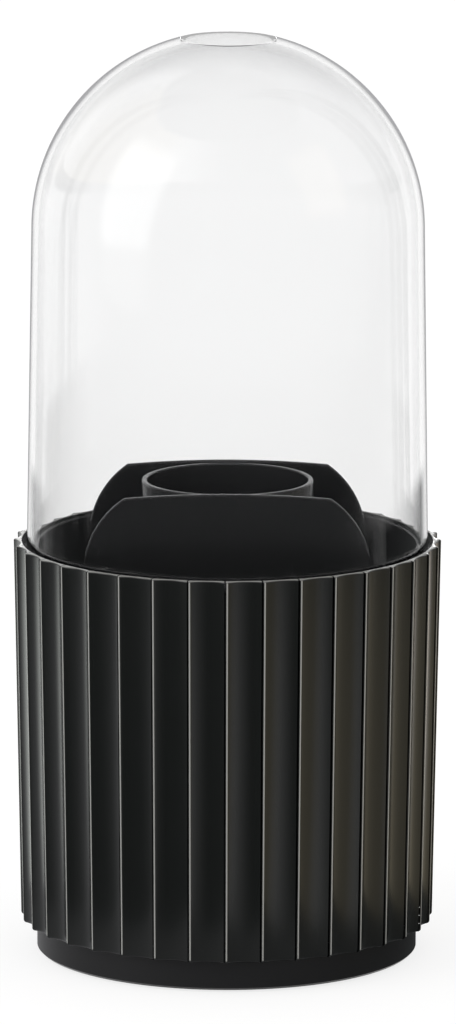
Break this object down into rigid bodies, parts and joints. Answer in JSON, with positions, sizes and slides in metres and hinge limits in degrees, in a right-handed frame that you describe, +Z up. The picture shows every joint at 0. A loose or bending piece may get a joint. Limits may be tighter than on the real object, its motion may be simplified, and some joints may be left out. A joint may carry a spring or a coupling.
{
  "type": "rotating makeup organizer",
  "caption": "Fluted black drum that turns on a low round foot, with a lift-out divider insert round a raised centre cup, under a clear dome lid that lifts off.",
  "frame": {"origin": "middle of the footprint, on the surface that the pads stand on", "axes": "+Z up along the axis that the drum turns about, -Y the front, where one divider panel faces, +X the right side seen from the front"},
  "size_m": [0.125, 0.125, 0.2702],
  "materials": {
    "clear_plastic": "clear injection-moulded polystyrene, polished",
    "black_plastic": "black ABS, moulded with a satin gloss",
    "dull_black_plastic": "black ABS, moulded, hidden inside",
    "white_plastic": "natural acetal, moulded",
    "ball_steel": "hardened steel, polished",
    "screw_steel": "zinc-plated steel",
    "rubber": "black rubber, dull"
  },
  "bodies": {
    "base": {"foot_base": "black_plastic", "rubber_pad_1": "rubber", "rubber_pad_2": "rubber", "rubber_pad_3": "rubber", "rubber_pad_4": "rubber"},
    "race": {"ball_cage": "white_plastic", "bearing_ball_01": "ball_steel", "bearing_ball_02": "ball_steel", "bearing_ball_03": "ball_steel", "bearing_ball_04": "ball_steel", "bearing_ball_05": "ball_steel", "bearing_ball_06": "ball_steel", "bearing_ball_07": "ball_steel", "bearing_ball_08": "ball_steel", "bearing_ball_09": "ball_steel", "bearing_ball_10": "ball_steel", "bearing_ball_11": "ball_steel", "bearing_ball_12": "ball_steel"},
    "carousel": {"turntable_plate": "dull_black_plastic", "fluted_shell": "black_plastic", "inner_drum": "black_plastic", "pivot_washer": "screw_steel", "pivot_screw": "screw_steel", "clamp_screws": "screw_steel"},
    "insert": {"divider_frame": "black_plastic", "centre_cup": "black_plastic"},
    "lid": {"dome_lid": "clear_plastic"}
  },
  "joints": [
    {"name": "carousel_spin", "type": "hinge", "parent": "base", "child": "carousel", "pos_m": [0, 0, 0], "axis": [0, 0, 1], "continuous": true},
    {"name": "race_roll", "type": "hinge", "parent": "base", "child": "race", "pos_m": [0, 0, 0], "axis": [0, 0, 1], "continuous": true},
    {"name": "insert_lift", "type": "slide", "parent": "carousel", "child": "insert", "axis": [0, 0, 1], "range_m": [0, 0.105]},
    {"name": "lid_lift", "type": "slide", "parent": "carousel", "child": "lid", "axis": [0, 0, 1], "range_m": [0, 0.16]}
  ],
  "couplings": [
    {"joint": "race_roll", "follows": "carousel_spin", "ratio": 0.5}
  ]
}
